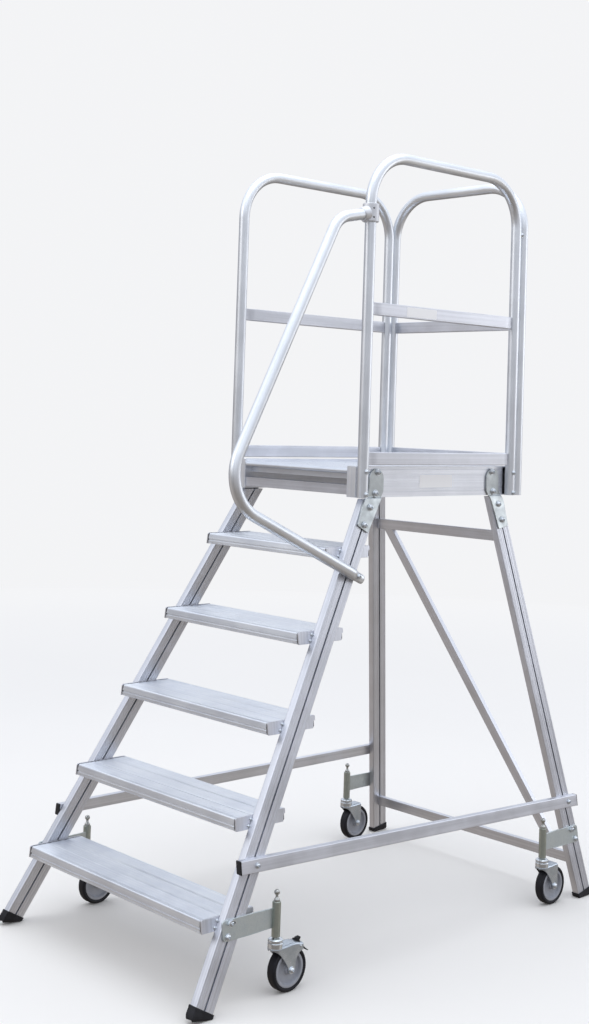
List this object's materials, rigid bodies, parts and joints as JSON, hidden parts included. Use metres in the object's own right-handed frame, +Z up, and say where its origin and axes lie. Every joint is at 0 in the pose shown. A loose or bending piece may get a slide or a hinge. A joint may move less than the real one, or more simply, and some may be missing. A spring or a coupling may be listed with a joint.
{
  "type": "rolling warehouse ladder",
  "caption": "Aluminium podium ladder with ribbed treads, a guarded platform and a handrail, on rubber feet beside four spring-loaded swivel castors, the front pair with brake pedals.",
  "frame": {"origin": "on the floor, under the centre of the ladder's bounding box", "axes": "+Z up, +Y away from the person who climbs (towards the rear legs), +X to that person's right, the side with the handrail"},
  "size_m": [0.9974, 1.7239, 2.4365],
  "materials": {
    "aluminium_profile": "mill-finish extruded aluminium with fine lengthwise lines",
    "aluminium_tread": "ribbed extruded aluminium, satin",
    "aluminium_tube": "brushed drawn aluminium tube",
    "cast_aluminium": "fine sand-cast aluminium",
    "zinc_steel": "zinc-plated steel, slightly greenish, dull",
    "black_rubber": "matt black moulded rubber",
    "wheel": "grey moulded plastic wheel with a black rubber tyre",
    "black_plastic": "matt black moulded plastic"
  },
  "bodies": {
    "frame": {"stringer_right": "aluminium_profile", "stringer_left": "aluminium_profile", "rear_leg_right": "aluminium_profile", "rear_leg_left": "aluminium_profile", "foot_front_right": "black_rubber", "foot_front_left": "black_rubber", "foot_rear_right": "black_rubber", "foot_rear_left": "black_rubber", "tread_1": "aluminium_tread", "tread_2": "aluminium_tread", "tread_3": "aluminium_tread", "tread_4": "aluminium_tread", "tread_5": "aluminium_tread", "platform_side_beam_right": "aluminium_profile", "platform_side_beam_left": "aluminium_profile", "platform_front_crossbar": "aluminium_profile", "platform_rear_beam": "aluminium_profile", "platform_deck": "aluminium_tread", "guard_hoop_right": "aluminium_tube", "guard_hoop_left": "aluminium_tube", "guard_hoop_rear": "aluminium_tube", "mid_rail_right": "aluminium_profile", "mid_rail_left": "aluminium_profile", "mid_rail_rear": "aluminium_profile", "toe_board_right": "aluminium_profile", "toe_board_left": "aluminium_profile", "toe_board_rear": "aluminium_profile", "gusset_front_right": "zinc_steel", "gusset_front_left": "zinc_steel", "gusset_rear_right": "zinc_steel", "gusset_rear_left": "zinc_steel", "handrail_right": "aluminium_tube", "handrail_clamp": "cast_aluminium", "side_brace_right": "aluminium_profile", "side_brace_left": "aluminium_profile", "rear_crossbar_upper": "aluminium_profile", "rear_crossbar_lower": "aluminium_profile", "rear_diagonal": "aluminium_profile", "castor_bracket_front_right": "zinc_steel", "castor_bracket_front_left": "zinc_steel", "castor_bracket_rear_right": "zinc_steel", "castor_bracket_rear_left": "zinc_steel"},
    "castor_stem_front_right": {"castor_stem_front_right": "zinc_steel"},
    "castor_fork_front_right": {"castor_fork_front_right": "zinc_steel"},
    "castor_wheel_front_right": {"castor_wheel_front_right": "wheel"},
    "brake_pedal_front_right": {"brake_pedal_front_right": "black_plastic"},
    "castor_stem_front_left": {"castor_stem_front_left": "zinc_steel"},
    "castor_fork_front_left": {"castor_fork_front_left": "zinc_steel"},
    "castor_wheel_front_left": {"castor_wheel_front_left": "wheel"},
    "brake_pedal_front_left": {"brake_pedal_front_left": "black_plastic"},
    "castor_stem_rear_right": {"castor_stem_rear_right": "zinc_steel"},
    "castor_fork_rear_right": {"castor_fork_rear_right": "zinc_steel"},
    "castor_wheel_rear_right": {"castor_wheel_rear_right": "wheel"},
    "castor_stem_rear_left": {"castor_stem_rear_left": "zinc_steel"},
    "castor_fork_rear_left": {"castor_fork_rear_left": "zinc_steel"},
    "castor_wheel_rear_left": {"castor_wheel_rear_left": "wheel"}
  },
  "joints": [
    {"name": "castor_spring_front_right", "type": "slide", "parent": "frame", "child": "castor_stem_front_right", "axis": [0, 0, 1], "range_m": [-0.0045, 0], "stiffness_N_per_m": 3000, "springref_m": -0.075},
    {"name": "castor_swivel_front_right", "type": "hinge", "parent": "castor_stem_front_right", "child": "castor_fork_front_right", "pos_m": [0.4575, -0.552, 0.138], "axis": [0, 0, 1], "continuous": true},
    {"name": "wheel_spin_front_right", "type": "hinge", "parent": "castor_fork_front_right", "child": "castor_wheel_front_right", "pos_m": [0.4575, -0.507, 0.0625], "axis": [1, 0, 0], "continuous": true},
    {"name": "brake_press_front_right", "type": "hinge", "parent": "castor_fork_front_right", "child": "brake_pedal_front_right", "pos_m": [0.4575, -0.474, 0.13], "axis": [1, 0, 0], "range_deg": [-10, 0]},
    {"name": "castor_spring_front_left", "type": "slide", "parent": "frame", "child": "castor_stem_front_left", "axis": [0, 0, 1], "range_m": [-0.0045, 0], "stiffness_N_per_m": 3000, "springref_m": -0.075},
    {"name": "castor_swivel_front_left", "type": "hinge", "parent": "castor_stem_front_left", "child": "castor_fork_front_left", "pos_m": [-0.4575, -0.552, 0.138], "axis": [0, 0, 1], "continuous": true},
    {"name": "wheel_spin_front_left", "type": "hinge", "parent": "castor_fork_front_left", "child": "castor_wheel_front_left", "pos_m": [-0.4575, -0.507, 0.0625], "axis": [1, 0, 0], "continuous": true},
    {"name": "brake_press_front_left", "type": "hinge", "parent": "castor_fork_front_left", "child": "brake_pedal_front_left", "pos_m": [-0.4575, -0.474, 0.13], "axis": [1, 0, 0], "range_deg": [-10, 0]},
    {"name": "castor_spring_rear_right", "type": "slide", "parent": "frame", "child": "castor_stem_rear_right", "axis": [0, 0, 1], "range_m": [-0.0045, 0], "stiffness_N_per_m": 3000, "springref_m": -0.075},
    {"name": "castor_swivel_rear_right", "type": "hinge", "parent": "castor_stem_rear_right", "child": "castor_fork_rear_right", "pos_m": [0.4615, 0.633, 0.138], "axis": [0, 0, 1], "continuous": true},
    {"name": "wheel_spin_rear_right", "type": "hinge", "parent": "castor_fork_rear_right", "child": "castor_wheel_rear_right", "pos_m": [0.4615, 0.678, 0.0625], "axis": [1, 0, 0], "continuous": true},
    {"name": "castor_spring_rear_left", "type": "slide", "parent": "frame", "child": "castor_stem_rear_left", "axis": [0, 0, 1], "range_m": [-0.0045, 0], "stiffness_N_per_m": 3000, "springref_m": -0.075},
    {"name": "castor_swivel_rear_left", "type": "hinge", "parent": "castor_stem_rear_left", "child": "castor_fork_rear_left", "pos_m": [-0.4615, 0.633, 0.138], "axis": [0, 0, 1], "continuous": true},
    {"name": "wheel_spin_rear_left", "type": "hinge", "parent": "castor_fork_rear_left", "child": "castor_wheel_rear_left", "pos_m": [-0.4615, 0.678, 0.0625], "axis": [1, 0, 0], "continuous": true}
  ]
}
